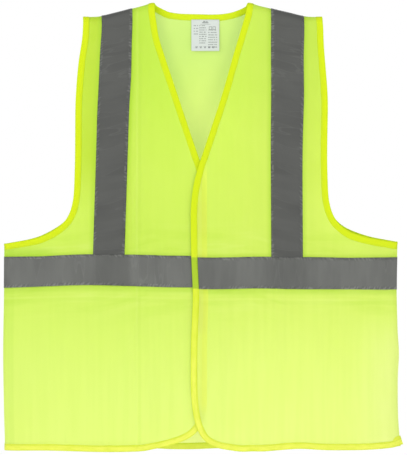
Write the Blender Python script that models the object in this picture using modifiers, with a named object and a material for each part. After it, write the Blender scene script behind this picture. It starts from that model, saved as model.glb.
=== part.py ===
"""A sleeveless high visibility waistcoat with a crossed front, hanging open by its shoulders.

Metres in the scene and millimetres in this script. +Z is up, the front faces -Y and the wearer's
right is at -X. The origin is midway between the two neck points, on the line that a hanger's arms
press against. Every piece of cloth is drawn flat as (x, v): x across the garment and v along the cloth
from the shoulder ridge, negative down the front and positive down the back. place() then lays that flat
shape on the hanging garment.
"""

import math

import bmesh
import bpy
from mathutils import Vector

MM = 0.001

# The whole garment
HALF_WIDTH = 313.0  # centre line to side seam
LENGTH = 709.0  # neck point to front hem
BACK_LENGTH = 707.0
NECK_HALF = 74.0  # centre line to the neck edge at the shoulder ridge
NECK_POINT = 79.0  # the shoulder line starts to fall here,
NECK_EASE = 7.0  # easing in over this much each way
SHOULDER_HALF = 189.6
SHOULDER_SLOPE = 0.25
LEVEL_FROM, LEVEL_TO = 150.0, 176.0  # the shoulder line eases from its slope to level between these

# The hanging form
RIDGE = 9.0  # radius of the cloth over a hanger's arm
FLARE = 0.058  # how fast front and back part below the ridge
BENDS = (180.0, 360.0)  # how far along the cloth the hang grows steeper,
BEND = 0.002  # by this much each time
PLATEAU = 102.0  # front and back are flat across this half width
EDGE_DEPTH = 1.15  # what is left of the depth at the side seam
FULLNESS = 0.75

# Thicknesses and layers, counted outwards from the middle of the cloth
CLOTH = 0.5
TAPE = 0.3
BINDING = 0.35
PATCH = 0.7
LABEL = 0.3
SEAM = 1.2
GAP = 0.33
BINDING_LIFT = CLOTH / 2 + GAP + BINDING / 2
BRACE_LIFT = CLOTH / 2 + GAP + TAPE / 2
WAIST_LIFT = BRACE_LIFT + TAPE + GAP
PATCH_LIFT = BINDING_LIFT + BINDING / 2 + GAP + PATCH / 2

# Tapes and bindings
TAPE_WIDTH = 50.0
WAIST_TOP = 401.0
WAIST_END = 306.0  # the waist tape ends here, short of the side seam
TUCK = 8.0  # a brace tape's end is tucked this far behind the waist tape
BRACE_X = 135.0  # centre line of a brace at the shoulder and down the back
RIGHT_BRACE_SPREAD = 11.5  # how far a front brace has moved outwards at the waist
LEFT_BRACE_SPREAD = 1.5
BINDING_WIDTH = 10.0
LEG_END = 1.0  # a binding's leg starts to turn round the edge this far inside it
INSET = 1.3  # the cloth's cut edge lies this far inside the fold of its binding

# The crossed front
UNDER_EDGE = 9.5  # the wearer's right front ends here, behind
TOP_EDGE = -15.9  # the wearer's left front ends here, on top
LAP_SHIFT = 2.13  # each front is shifted this far at the lap, one inwards and one outwards
LAP_FROM, LAP_TO = 64.0, 15.0
FOLD_AT_NECK, FOLD_AT_HEM = 76.0, 100.0  # a front folds back along the line between these
FOLD_GAP = 0.2
EDGE_CLEAR = 0.5  # a front edge's binding stops this far short of the fold
HEM_CLEAR = 3.2  # and a hem's binding starts this far past it, since its upper edge leans back
HINGE_LIFT = 2.5  # the fold's axis lies this far in front of the cloth
PATCH_X = (-13.0, 7.0)
PATCH_HEIGHT = 50.0
PATCH_TOPS = {"upper": 315.0, "lower": 470.0}

# The care label
LABEL_X = (-15.4, 29.2)
LABEL_TOP, LABEL_BOTTOM = 25.0, 75.0

# Seams and cuts
UNDERARM = 378.5
SIDE_TOP = 381.5  # the side seam's upper end, below the armhole's binding edge
SEAM_WIDTH = 7.0
SEAM_INSET = 0.5  # the seam allowance starts this far inside the side
SEAM_CLEAR = 3.0  # and its ends stay this far from the bindings
RIDGE_GAP = 0.4  # front and back panels each stop this far from the shoulder ridge
RIGHT_CORNER, LEFT_CORNER = 58.0, 57.0  # how far down the folds of the fronts begin
RIGHT_HEM_END, LEFT_HEM_END = 707.0, 704.0  # how far down the hem meets each side seam
HEM_TAB = (314.0, 315.0, 317.0, 320.0)  # the left hem's binding sticks out past its side, through here
TAB_RISE = 0.25  # rising this much for each millimetre

QUARTER = RIDGE * math.pi / 2  # cloth from the ridge to where it hangs straight
COLUMNS = [120, 140, 160, 180, 200, 215, 230, 245, 260, 273, 285, 294, 301, 306, 310]
NECK_COLUMNS = [NECK_POINT, NECK_POINT + NECK_EASE / 2, NECK_POINT + NECK_EASE]
LAP_COLUMNS = [LAP_TO, 27, 39, 51, LAP_FROM]
CUT_X = [side * x for x in LAP_COLUMNS + NECK_COLUMNS + [PLATEAU] + COLUMNS for side in (-1, 1)]
RIDGE_ROWS = [QUARTER * i / 6 for i in range(-6, 7)]
CUT_V = RIDGE_ROWS + [side * v for v in (*BENDS, 540) for side in (-1, 1)]
NEAR = 1.0  # a point nearer than this to a line's end is left out,
NEAR_ROW = 0.1  # and one nearer than this to a ridge row counts as on it
STEP = 0.01  # the difference that slopes are measured over


# ---------------------------------------------------------------- the hanging form


def drop(x):
    """How far the shoulder line lies below the neck point."""
    reach = min(abs(x), LEVEL_TO)
    past = max(reach - LEVEL_FROM, 0)
    if reach < NECK_POINT + NECK_EASE:
        return SHOULDER_SLOPE * max(reach - NECK_POINT + NECK_EASE, 0) ** 2 / (4 * NECK_EASE)
    return SHOULDER_SLOPE * (reach - NECK_POINT - past**2 / (2 * (LEVEL_TO - LEVEL_FROM)))


def front(x, down):
    """The flat point on the front that lies this far below the neck point."""
    return (x, -(down - drop(x) + QUARTER - RIDGE))


def back(x, down):
    """The same on the back."""
    return (x, down - drop(x) + QUARTER - RIDGE)


def smooth(t):
    """An even ramp from 0 to 1, level at both ends."""
    t = min(max(t, 0.0), 1.0)
    return t * t * (3 - 2 * t)


def middle(x, v, lap=0):
    """Where the middle of the cloth lies. lap is -1 on the top front, 1 on the under one and else 0."""
    side = -1 if v < 0 else 1
    along = abs(v)
    t = min(max((abs(x) - PLATEAU) / (HALF_WIDTH + 0.5 - PLATEAU), 0.0), 1.0)
    full = (1 - t * t) ** FULLNESS
    angle = max(QUARTER - along, 0) / RIDGE
    hanging = max(along - QUARTER, 0)
    steeper = BEND * sum(max(along - row, 0) for row in BENDS)
    depth = (RIDGE + FLARE * (drop(x) + hanging) - steeper) * full + EDGE_DEPTH * (1 - full)
    height = drop(x) + RIDGE - RIDGE * math.sin(angle) + hanging
    shift = lap * LAP_SHIFT * smooth((LAP_FROM + lap * x) / (LAP_FROM - LAP_TO))
    return Vector((x, side * depth * math.cos(angle) + shift, -height))


def place(x, v, lift=0.0, lap=0):
    """The point of the garment at a flat point, lift outwards from the middle of the cloth, in metres."""
    across = middle(x + STEP, v, lap) - middle(x - STEP, v, lap)
    around = middle(x, v + STEP, lap) - middle(x, v - STEP, lap)
    normal = across.cross(around).normalized()
    return (middle(x, v, lap) + normal * lift) * MM


def fold_x(down):
    """How far from the centre line a front folds back, at this distance below the neck point."""
    return FOLD_AT_NECK + (FOLD_AT_HEM - FOLD_AT_NECK) * down / LENGTH


# ---------------------------------------------------------------- flat outlines


def curve(points, pieces=4):
    """A smooth line through flat points, each stretch cut into the same number of pieces."""
    p = [Vector(a) for a in points]
    p = [2 * p[0] - p[1], *p, 2 * p[-1] - p[-2]]
    line = []
    for i in range(1, len(p) - 2):
        for k in range(pieces):
            t = k / pieces
            tangents = (p[i + 1] - p[i - 1]) * (t**3 - 2 * t**2 + t) / 2
            tangents += (p[i + 2] - p[i]) * (t**3 - t**2) / 2
            line.append(p[i] * (1 - smooth(t)) + p[i + 1] * smooth(t) + tangents)
    return [tuple(a) for a in line] + [tuple(p[-2])]


def over_ridge(line):
    """The same line with a point wherever it crosses one of the ridge's rows."""
    made = [line[0]]
    for a, b in zip(line, line[1:]):
        low, high = sorted((a[1], b[1]))
        rows = [v for v in RIDGE_ROWS if low + NEAR_ROW < v < high - NEAR_ROW]
        for v in rows if a[1] < b[1] else rows[::-1]:
            made.append((a[0] + (b[0] - a[0]) * (v - a[1]) / (b[1] - a[1]), v))
        made.append(b)
    return made


def level(side, down, start, end):
    """A line at one height from start to end across the front or the back, with a point on every column."""
    low, high = sorted((start, end))
    inner = [x for x in sorted(CUT_X) if low + NEAR < x < high - NEAR]
    line = [side(x, down) for x in (low, *inner, high)]
    return line if start < end else line[::-1]


def inwards(line, i, side):
    """The unit vector into the cloth at point i of a line. side is 1 with the cloth left of the line."""
    ahead = Vector(line[min(i + 1, len(line) - 1)]) - Vector(line[max(i - 1, 0)])
    ahead.normalize()
    return Vector((-ahead.y, ahead.x)) * side


def inset(line, side, by=INSET):
    """The line moved into the cloth."""
    return [tuple(Vector(p) + inwards(line, i, side) * by) for i, p in enumerate(line)]


def mirrored(line):
    """The same line on the other side of the garment."""
    return [(-x, v) for x, v in line]


def neckline():
    """The fixed part of the neckline, from the right front's fold round the neck to the left front's."""
    right = [front(-66.8, 55), front(-70.5, 33), front(-73.3, 14), (-NECK_HALF, 0)]
    across = [back(-71.5, 7), back(-63, 13.5), back(-50, 17)]
    across += [back(x, 17.6) for x in (-34, -16, 0)]
    left = [(NECK_HALF, 0), front(71.5, 14), front(66.8, 31), front(60.6, 52)]
    return over_ridge(curve([*right, *across, *mirrored(across[-2::-1]), *left], 2))


def under_front():
    """The edge of the right front: neckline, front edge, rounded corner, and hem as far as the fold."""
    points = [(-66.7, 55.6), (-56.5, 88), (-37, 146), (-20, 197), (-8.7, 230), (2, 262), (7.8, 290)]
    points += [(UNDER_EDGE, down) for down in (325, 380, 460, 540, 610)]
    points += [(7.5, 645), (1, 668), (-9, 682), (-24, 692), (-45, 699.5), (-67, 704.5), (-84, 707.5)]
    points += [(EDGE_CLEAR - fold_x(LENGTH), LENGTH)]
    return curve([front(x, down) for x, down in points], 2)


def top_front():
    """The edge of the left front, drawn the same way."""
    points = [(60.5, 52.6), (51.5, 82), (36, 137), (19, 190), (5.6, 230), (-5, 262), (-12, 290)]
    points += [(TOP_EDGE, down) for down in (325, 380, 460, 540, 605)]
    points += [(-14.2, 636), (-9.6, 664), (-1.5, 684), (9.5, 696.5), (25, 704.3), (43, 707.6), (68, 708.8)]
    points += [(fold_x(LENGTH) - EDGE_CLEAR, LENGTH)]
    return curve([front(x, down) for x, down in points], 2)


def armhole():
    """The left armhole, from the front underarm over the shoulder to the back underarm."""
    low = [(312.5, UNDERARM), (310, 378.2), (306, 377.6), (301, 376.6), (294, 375.4), (285, 373.8)]
    low += [(273, 371.4), (260, 367.8), (248, 363.8), (236, 358.8), (226, 353.2), (216, 344.5)]
    low += [(208.8, 333), (204.4, 319), (201.8, 300)]
    rise = [(200.2, 255), (199.6, 205), (198.6, 156), (195, 100), (191.2, 60), (190, 35)]
    up = curve([front(x, down) for x, down in low], 1) + curve([front(x, down) for x, down in rise], 1)
    over = [(SHOULDER_HALF, -QUARTER), (SHOULDER_HALF, QUARTER)]
    return over_ridge(up + over + [(x, -v) for x, v in reversed(up)])


def front_hem(away, corner):
    """The right front's hem, drawn outwards from its fold. corner is how far down its outer end lies."""
    bend = COLUMNS[-6]
    line = level(front, LENGTH, -fold_x(LENGTH) - away, -bend)
    for x in (*COLUMNS[-5:], HALF_WIDTH):
        line.append(front(-x, LENGTH - (LENGTH - corner) * ((x - bend) / (HALF_WIDTH - bend)) ** 2))
    return line


def ridge_line(start, end, side):
    """The top edge of a front or back panel, just short of the shoulder ridge."""
    return [(x, side * RIDGE_GAP) for x, _ in level(front, 0, start, end)]


def fold_line(away, start):
    """The right front's fold, from its upper end to the hem, moved away from the true line."""
    heights = [start, 200, 400, 600, LENGTH - INSET]
    return [front(-fold_x(down) - away, down) for down in heights]


# ---------------------------------------------------------------- meshes and objects


def srgb(*colour):
    return tuple((c / 12.92 if c <= 0.04045 else ((c + 0.055) / 1.055) ** 2.4) for c in colour)


def material(name, colour, roughness, metallic=0.0):
    made = bpy.data.materials.new(name)
    made.use_nodes = True
    shader = made.node_tree.nodes["Principled BSDF"]
    shader.inputs["Base Color"].default_value = (*srgb(*colour), 1)
    shader.inputs["Roughness"].default_value = roughness
    shader.inputs["Metallic"].default_value = metallic
    made.diffuse_color = (*srgb(*colour), 1)
    return made


def add_object(name, bm, look, thickness=None, parent=None):
    """Turns a bmesh in world metres into a named object, hung on its hinge's empty if it moves."""
    if parent is not None:
        bmesh.ops.translate(bm, verts=bm.verts, vec=-parent.location)
    mesh = bpy.data.meshes.new(name)
    bm.to_mesh(mesh)
    bm.free()
    mesh.materials.append(look)
    made = bpy.data.objects.new(name, mesh)
    garment.objects.link(made)
    made.parent = parent
    if thickness:
        shell = made.modifiers.new("thickness", "SOLIDIFY")
        shell.thickness = thickness * MM
        shell.offset = 0
        shell.use_even_offset = True
        shell.use_quality_normals = True
    return made


def cut_piece(name, outline, look, thickness, lift=0.0, lap=0, parent=None):
    """A piece of cloth: a flat outline, cut along the columns and rows, and laid on the garment."""
    bm = bmesh.new()
    bm.faces.new([bm.verts.new((x, v, 0)) for x, v in outline])
    cuts = [((x, 0, 0), (1, 0, 0)) for x in CUT_X] + [((0, v, 0), (0, 1, 0)) for v in CUT_V]
    for at, normal in cuts:
        everything = [*bm.verts, *bm.edges, *bm.faces]
        bmesh.ops.bisect_plane(bm, geom=everything, dist=0.01, plane_co=at, plane_no=normal)
    bmesh.ops.recalc_face_normals(bm, faces=bm.faces)
    for vert in bm.verts:
        vert.co = place(vert.co.x, vert.co.y, lift, lap)
    return add_object(name, bm, look, thickness, parent)


def strip(name, sections, look, thickness, parent=None):
    """A strip through sections, which are rows of points with the same number of points each."""
    bm = bmesh.new()
    rows, columns = len(sections), len(sections[0])
    grid = bmesh.ops.create_grid(bm, x_segments=columns - 1, y_segments=rows - 1, size=0.5)["verts"]
    for vert in grid:
        row = round((vert.co.y + 0.5) * (rows - 1))
        column = round((vert.co.x + 0.5) * (columns - 1))
        vert.co = sections[row][column]
    return add_object(name, bm, look, thickness, parent)


def binding(name, line, side, lap=0, parent=None, pieces=1):
    """A tape folded round the edge that a line follows, with one leg on each face of the cloth.

    Each leg is cut lengthwise into pieces and one more."""
    legs = [(BINDING_WIDTH * (1 - i / pieces), BINDING_LIFT) for i in range(pieces)]
    legs += [(LEG_END, BINDING_LIFT), (BINDING / 2, 0)]
    legs += [(a, -lift) for a, lift in reversed(legs[:-1])]
    sections = []
    for i, point in enumerate(line):
        into = inwards(line, i, side)
        flat = [(Vector(point) + into * a, lift) for a, lift in legs]
        sections.append([place(p.x, p.y, lift, lap) for p, lift in flat])
    return strip(name, sections, binding_look, BINDING, parent)


def block(name, low, high, look, parent=None):
    """A box between two corners in millimetres."""
    bm = bmesh.new()
    bmesh.ops.create_cube(bm, size=1)
    low, high = Vector(low) * MM, Vector(high) * MM
    for vert in bm.verts:
        vert.co = Vector([m + c * d for m, c, d in zip((low + high) / 2, vert.co, high - low)])
    return add_object(name, bm, look, parent=parent)


def hinge(name, at):
    """An empty at a place in metres on a joint's axis."""
    made = bpy.data.objects.new(name, None)
    made.location = at
    made.empty_display_size = 0.03
    garment.objects.link(made)
    return made


# ---------------------------------------------------------------- the pieces


def back_panel():
    """The whole back in one piece."""
    neck = [p for p in inset(neckline(), 1) if p[1] > RIDGE_GAP]
    right = [p for p in inset(mirrored(armhole()), -1) if p[1] > RIDGE_GAP]
    left = [p for p in inset(armhole(), 1) if p[1] > RIDGE_GAP]
    edge = SHOULDER_HALF - INSET
    outline = [*neck, *ridge_line(NECK_HALF + INSET, edge, 1), *left, back(HALF_WIDTH, SIDE_TOP)]
    outline += level(back, BACK_LENGTH - INSET, HALF_WIDTH, -HALF_WIDTH)
    outline += [back(-HALF_WIDTH, SIDE_TOP), *right[::-1]]
    outline += ridge_line(-edge, -NECK_HALF - INSET, 1)
    return cut_piece("back_panel", outline, knit, CLOTH)


def side_panel(name, sign, neck, corner, hem_corner):
    """The fixed outer part of a front, from the shoulder and armhole to the hem and the fold."""
    arm = [p for p in inset(mirrored(armhole()), -1) if p[1] < -RIDGE_GAP]
    outline = ridge_line(INSET - SHOULDER_HALF, -NECK_HALF - INSET, -1) + neck
    outline += fold_line(FOLD_GAP, corner - FOLD_GAP)
    outline += inset(front_hem(FOLD_GAP, hem_corner), -1)[1:]
    outline += [front(-HALF_WIDTH, SIDE_TOP), *arm]
    return cut_piece(name, outline if sign < 0 else mirrored(outline), knit, CLOTH)


def flap_panel(name, sign, edge, corner, parent):
    """The part of a front that folds back, between its fold and its bound edge, both drawn on the right."""
    outline = inset(edge, -1) + fold_line(-FOLD_GAP, corner + FOLD_GAP)[::-1]
    return cut_piece(name, outline if sign < 0 else mirrored(outline), knit, CLOTH, 0, -sign, parent)


def brace_tape(name, sign, spread):
    """A reflective tape over the shoulder, both ends tucked behind the waist tapes."""
    end = WAIST_TOP + TUCK
    inner, outer = BRACE_X - TAPE_WIDTH / 2, BRACE_X + TAPE_WIDTH / 2
    outline = [front(inner + spread, end), front(inner, 30), back(inner, 30), back(inner, end)]
    outline += [back(BRACE_X, end), back(outer, end), back(outer, 30), front(outer, 30)]
    outline += [front(outer + spread, end), front(BRACE_X + spread, end)]
    return cut_piece(name, outline if sign > 0 else mirrored(outline), reflective, TAPE, BRACE_LIFT)


def waist_tape(name, side, start, end, lap=0, parent=None):
    """A level reflective tape between two ends, each the x of its upper and of its lower corner."""
    upper = level(side, WAIST_TOP, start[0], end[0])
    lower = level(side, WAIST_TOP + TAPE_WIDTH, end[1], start[1])
    return cut_piece(name, upper + lower, reflective, TAPE, WAIST_LIFT, lap, parent)


def closure_patch(name, top, lift, lap, look, parent):
    """Half of a hook and loop fastening, inside the lap."""
    low, high = PATCH_X
    bottom = top + PATCH_HEIGHT
    outline = [front(low, top), front(high, top), front(high, bottom), front(low, bottom)]
    return cut_piece(name, outline, look, PATCH, lift, lap, parent)


def hem_binding(name, sign, corner, tail=()):
    """The binding of a front's hem from the fold outwards. tail holds the x of points on a stray end."""
    line = front_hem(HEM_CLEAR, corner)
    line += [front(-x, corner - (x - HALF_WIDTH) * TAB_RISE) for x in tail]
    return binding(name, line if sign < 0 else mirrored(line), sign, pieces=3 if tail else 1)


def side_seam(name, sign):
    """The overlocked seam allowance inside a side."""
    low, high = sorted((sign * (HALF_WIDTH - SEAM_INSET), sign * (HALF_WIDTH - SEAM_WIDTH)))
    lower = BINDING_WIDTH + SEAM_CLEAR - LENGTH
    upper = -(UNDERARM + BINDING_WIDTH + SEAM_CLEAR)
    return block(name, (low, -SEAM / 2, lower), (high, SEAM / 2, upper), overlock)


def shoulder_seam(name, sign):
    """The overlocked seam allowance that hangs inside a shoulder, between the neck and armhole bindings."""
    start, end, pieces = NECK_HALF + BINDING_WIDTH + NEAR, SHOULDER_HALF - BINDING_WIDTH - NEAR, 6
    top = CLOTH / 2 + 2 * GAP
    sections = []
    for i in range(pieces + 1):
        x = start + (end - start) * i / pieces
        heights = (drop(x) + top, drop(x) + top + SEAM_WIDTH)
        sections.append([Vector((sign * x, 0, -h)) * MM for h in heights])
    return strip(name, sections, overlock, SEAM)


for old in list(bpy.data.objects):
    bpy.data.objects.remove(old)
garment = bpy.data.collections.new("high_visibility_vest")
bpy.context.scene.collection.children.link(garment)

knit = material("fluorescent_knit", (0.83, 0.955, 0.38), 0.85)
binding_look = material("bright_binding", (0.87, 0.955, 0.12), 0.7)
reflective = material("reflective_tape", (0.42, 0.43, 0.415), 0.45)
white_satin = material("label_satin", (0.87, 0.9, 0.88), 0.5)
overlock = material("overlock_thread", (0.87, 0.96, 0.4), 0.8)
fastener = material("hook_and_loop", (0.85, 0.95, 0.3), 0.9)

fold_ends = [(fold_x(down), down) for down in (LEFT_CORNER, LENGTH)]
hinges = []
for sign, word in ((-1, "right"), (1, "left")):
    upper, lower = [place(*front(sign * x, down), HINGE_LIFT) for x, down in fold_ends]
    hinges.append(hinge(word + "_front_hinge", (upper + lower) / 2))
right_hinge, left_hinge = hinges

back_panel()
neck = inset(neckline(), 1)
right_neck = [p for p in neck if p[0] < 0 and p[1] < -RIDGE_GAP][::-1]
left_neck = mirrored([p for p in neck if p[0] > 0 and p[1] < -RIDGE_GAP])
side_panel("right_front_side_panel", -1, right_neck, RIGHT_CORNER, RIGHT_HEM_END)
side_panel("left_front_side_panel", 1, left_neck, LEFT_CORNER, LEFT_HEM_END)
flap_panel("right_front_flap_panel", -1, under_front(), RIGHT_CORNER, right_hinge)
flap_panel("left_front_flap_panel", 1, mirrored(top_front()), LEFT_CORNER, left_hinge)

brace_tape("right_brace_tape", -1, RIGHT_BRACE_SPREAD)
brace_tape("left_brace_tape", 1, LEFT_BRACE_SPREAD)
waist_tape("back_waist_tape", back, (-WAIST_END, -WAIST_END), (WAIST_END, WAIST_END))
fold = (fold_x(WAIST_TOP), fold_x(WAIST_TOP + TAPE_WIDTH))
outside, inside = [f + FOLD_GAP for f in fold], [f - FOLD_GAP for f in fold]
waist_tape("right_waist_tape_side", front, (-WAIST_END, -WAIST_END), [-x for x in outside])
waist_tape("left_waist_tape_side", front, (WAIST_END, WAIST_END), outside)
under_end, top_end = UNDER_EDGE - BINDING_WIDTH - GAP, TOP_EDGE + BINDING_WIDTH + GAP
waist_tape("right_waist_tape_flap", front, [-x for x in inside], (under_end, under_end), 1, right_hinge)
waist_tape("left_waist_tape_flap", front, inside, (top_end, top_end), -1, left_hinge)

binding("neck_binding", neckline(), 1, pieces=4)
binding("right_front_edge_binding", under_front(), -1, 1, right_hinge)
binding("left_front_edge_binding", top_front(), 1, -1, left_hinge)
binding("right_armhole_binding", mirrored(armhole()), -1)
binding("left_armhole_binding", armhole(), 1)
hem_binding("right_front_hem_binding", -1, RIGHT_HEM_END)
hem_binding("left_front_hem_binding", 1, LEFT_HEM_END, HEM_TAB)
binding("back_hem_binding", level(back, BACK_LENGTH, -HALF_WIDTH, HALF_WIDTH), -1)

for word, sign in (("right", -1), ("left", 1)):
    side_seam(word + "_side_seam", sign)
    shoulder_seam(word + "_shoulder_seam", sign)

for word, top in PATCH_TOPS.items():
    closure_patch(word + "_loop_patch", top, PATCH_LIFT, 1, fastener, right_hinge)
    closure_patch(word + "_hook_patch", top, -PATCH_LIFT, -1, fastener, left_hinge)

label_y = RIDGE + FLARE * (LABEL_TOP - RIDGE) - BINDING_LIFT - BINDING / 2 - GAP - LABEL / 2
label_hinge = hinge("label_hinge", Vector((sum(LABEL_X) / 2, label_y, -LABEL_TOP)) * MM)
label_low = (LABEL_X[0], label_y - LABEL / 2, -LABEL_BOTTOM)
label_high = (LABEL_X[1], label_y + LABEL / 2, -LABEL_TOP)
block("care_label", label_low, label_high, white_satin, label_hinge)
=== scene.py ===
"""The looks of a high visibility vest that hangs open by its shoulders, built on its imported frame.

Lengths here are millimetres and the scene is in metres. Every piece of cloth is drawn flat as (x, v):
x across the garment and v along the cloth from the shoulder ridge, negative down the front and positive
down the back. place() lays a flat point on the hanging garment, as the frame's own solids are laid.
"""

import math
from functools import partial
from types import SimpleNamespace

import bmesh
import bpy
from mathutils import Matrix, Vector, noise


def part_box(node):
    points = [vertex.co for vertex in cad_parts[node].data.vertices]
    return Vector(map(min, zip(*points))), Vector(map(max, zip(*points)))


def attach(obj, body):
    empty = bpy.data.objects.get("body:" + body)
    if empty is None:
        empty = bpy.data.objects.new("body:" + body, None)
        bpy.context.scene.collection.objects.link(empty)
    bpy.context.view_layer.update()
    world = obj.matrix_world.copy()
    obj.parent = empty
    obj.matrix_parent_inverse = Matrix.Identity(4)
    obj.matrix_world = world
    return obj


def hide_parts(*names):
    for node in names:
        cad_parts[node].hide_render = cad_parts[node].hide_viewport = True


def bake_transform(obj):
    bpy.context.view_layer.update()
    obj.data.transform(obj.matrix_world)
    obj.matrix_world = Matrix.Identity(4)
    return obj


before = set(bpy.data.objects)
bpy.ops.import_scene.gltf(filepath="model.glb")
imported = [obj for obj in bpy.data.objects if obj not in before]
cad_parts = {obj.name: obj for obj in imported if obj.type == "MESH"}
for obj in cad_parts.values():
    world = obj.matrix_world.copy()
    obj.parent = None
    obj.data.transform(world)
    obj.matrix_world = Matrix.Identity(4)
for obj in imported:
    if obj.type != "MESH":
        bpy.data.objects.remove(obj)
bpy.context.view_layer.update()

MM = 0.001


def node_box(name):
    """A frame node's lowest and highest corners in millimetres."""
    return [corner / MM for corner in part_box(name)]


# The garment. Its half width and the height of its waist tape are the frame's
HALF_WIDTH = round(node_box("back_panel")[1].x)
LENGTH = 709.0  # neck point to front hem
BACK_LENGTH = 707.0
WAIST_TOP = -round(node_box("back_waist_tape")[1].z)
TAPE_WIDTH = 50.0
BRACE_X = 135.0
RIGHT_BRACE_SPREAD, LEFT_BRACE_SPREAD = 11.5, 1.5  # how far a front brace has moved outwards at the waist
TUCK = 8.0  # a brace ends this far below the waist tape's upper edge
UNDERARM = 378.5
NECK_HALF, NECK_POINT, NECK_EASE = 74.0, 79.0, 7.0
SHOULDER_HALF, SHOULDER_SLOPE = 189.6, 0.25
LEVEL_FROM, LEVEL_TO = 150.0, 176.0  # the shoulder line turns level between these
RIGHT_HEM_END, LEFT_HEM_END = 707.0, 704.0
HEM_START, HEM_BEND, HEM_STEP = 103.0, 245.0, 3.0
LINE_STEP = 6  # between the points of a level line

# The hanging form
RIDGE = 9.0  # radius of the cloth over the shoulders
FLARE = 0.058
BENDS, BEND = (180.0, 360.0), 0.002
PLATEAU = 102.0
FULLNESS = 0.75
QUARTER = RIDGE * math.pi / 2

# The crossed front
UNDER_EDGE, TOP_EDGE = 9.5, -15.9
LAP_SHIFT = 2.13
LAP_FROM, LAP_TO = 64.0, 15.0

# Layers, outwards from the cloth
BINDING_WIDTH, BINDING_STEP = 10.0, 3.6
BINDING_PROFILE = [  # share of the width from the fold, and lift
    (1.0, 0.14),
    (0.95, 0.30),
    (0.82, 0.45),
    (0.5, 0.55),
    (0.25, 0.60),
    (0.1, 0.56),
    (0.03, 0.38),
    (0.0, 0.0),
]
BINDING_THICK = 0.28
BRACE_LIFT, WAIST_LIFT = 0.73, 1.36
TAPE_THICK = 0.24
PATCH_LIFT, PATCH_THICK, PATCH_CELL = 1.46, 0.5, (1.6, 1.6)
INSET = 1.3  # cloth ends this far inside the fold of its binding

# Thread
STITCH, STITCH_GAP = 2.4, 0.9
STITCH_LIFT = 0.66  # on a binding
TAPE_STITCH_LIFT = 0.2  # on a tape
SEWN_IN = 1.7  # from a binding's inner edge
TAPE_SEWN_IN = 2.0
THREAD_RADIUS, THREAD_SIDES = 0.17, 5
THREAD_RISE, THREAD_GIRTH = (-0.12, 0.16, 0.16, -0.12), (0.6, 1.0, 1.0, 0.6)  # at a stitch's four rings
SEAM_THICK, SEAM_COLUMNS = 0.5, 5

# Uneven cloth
HELD_AT_SIDE = 55.0  # cloth lies still at a side seam, and moves freely this far inside
FREE_BELOW_RIDGE = (8.0, 80.0)  # a ramp: where it starts, and its length
FALL = (150.0, 520.0)  # the ramp down which the folds grow
FOLDS = [  # width, length, seed, height, and height added towards the hem
    (46, 420, 0, 0.9, 2.6),
    (21, 190, 7, 0.5, 0.9),
    (30, 26, 13, 0.5, 0.0),
    (9, 11, 21, 0.16, 0.0),
]
BACK_SEED = 40
WAIST_PUCKERS = (7.5, 0.45, 9.0)  # pitch, height, and reach from the tape's edge
BRACE_PUCKERS = (8.0, 0.35, 7.0)
CREASES = (-101.6, 120.6)  # upright packing creases
CROSS_CREASE = 471.0  # and the one across
CREASE_SECTION = [(0.0, 3.5, 0.9), (9.0, 7.0, -0.5)]  # place, width, height
CROSS_SECTION = [(0.0, 3.5, 0.7), (8.0, 6.0, -0.4)]
HEM_FROM, BACK_HEM_FROM, BACK_HEM_SHARE = (560.0, 140.0), (640.0, 60.0), 0.4
HEM_WAVES = [  # place, width, fall
    (-318.0, 45.0, 3.2),
    (-148.0, 75.0, 2.4),
    (80.0, 28.0, 2.5),
    (157.0, 30.0, -2.6),
]
BACK_HEM_WAVES = [(-22.0, 62.0, 3.2), (HALF_WIDTH + 3, 14.0, -4.0)]
WAIST_REACH = 75.0
WAIST_WAVES = {
    "right": [(-312.0, 30.0, 0.9), (-180.0, 72.0, -3.7), (-95.0, 40.0, -0.9)],
    "left": [
        (15.0, 25.0, 0.5),
        (40.0, 130.0, 2.7),
        (90.0, 38.0, -1.2),
        (250.0, 130.0, 2.7),
        (305.0, 45.0, 1.2),
    ],
}
SIDE_FROM = 235.0
SIDE_WAVES = {  # place down the side, width, outwards
    "right": [(540.0, 80.0, 1.8), (680.0, 30.0, -1.0)],
    "left": [(430.0, 60.0, -1.8), (540.0, 25.0, 2.0), (704.0, 46.0, 4.2)],
}
SHOULDER_FROM = (85.0, 60.0)
SHOULDER_WAVES = {
    "right": [(25.0, 38.0, -2.6), (120.0, 60.0, 0.8)],
    "left": [(20.0, 45.0, 3.6), (120.0, 70.0, 3.0)],
}
# Spots that have moved: place across, width, place down, height and how far
NECK_RISE = (NECK_POINT, 8.0, 0.0, 25.0, 1.2)
ARMHOLE_SAG = (235.0, 40.0, 352.0, 32.0, 3.0)
BRACE_SWAY = (-BRACE_X, 38.0, 105.0, 45.0, 2.6)
TOP_FRONT_SWAY = (TOP_EDGE, 45.0, 470.0, 50.0, 3.0)
UNDERARM_SAG, UNDERARM_FROM = (UNDERARM - 20, 26.0, 3.2), (222.0, 40.0)  # place down, height, fall; ramp
# The loose end of the left hem binding: length, where it widens, how much, and its slope
TAIL, TAB_FROM, TAB_WIDER, TAB_SLOPE = 5.0, 304.0, 0.45, 0.25


# ---- the hanging form


def smooth(t):
    """An even ramp from 0 to 1, level at both ends."""
    t = min(max(t, 0.0), 1.0)
    return t * t * (3 - 2 * t)


def rise(at, start, length):
    """The same ramp, from a start over a length."""
    return smooth((at - start) / length)


def bump(at, centre, width):
    """1 at the centre, fading to both sides."""
    return math.exp(-(((at - centre) / width) ** 2))


def wavy(at, waves):
    """Bumps added up: each has a place, a width and a size."""
    return sum(size * bump(at, centre, width) for centre, width, size in waves)


def spot(x, down, centre, width, row, tall, far):
    """A bump across and down."""
    return far * bump(down, row, tall) * bump(x, centre, width)


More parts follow.
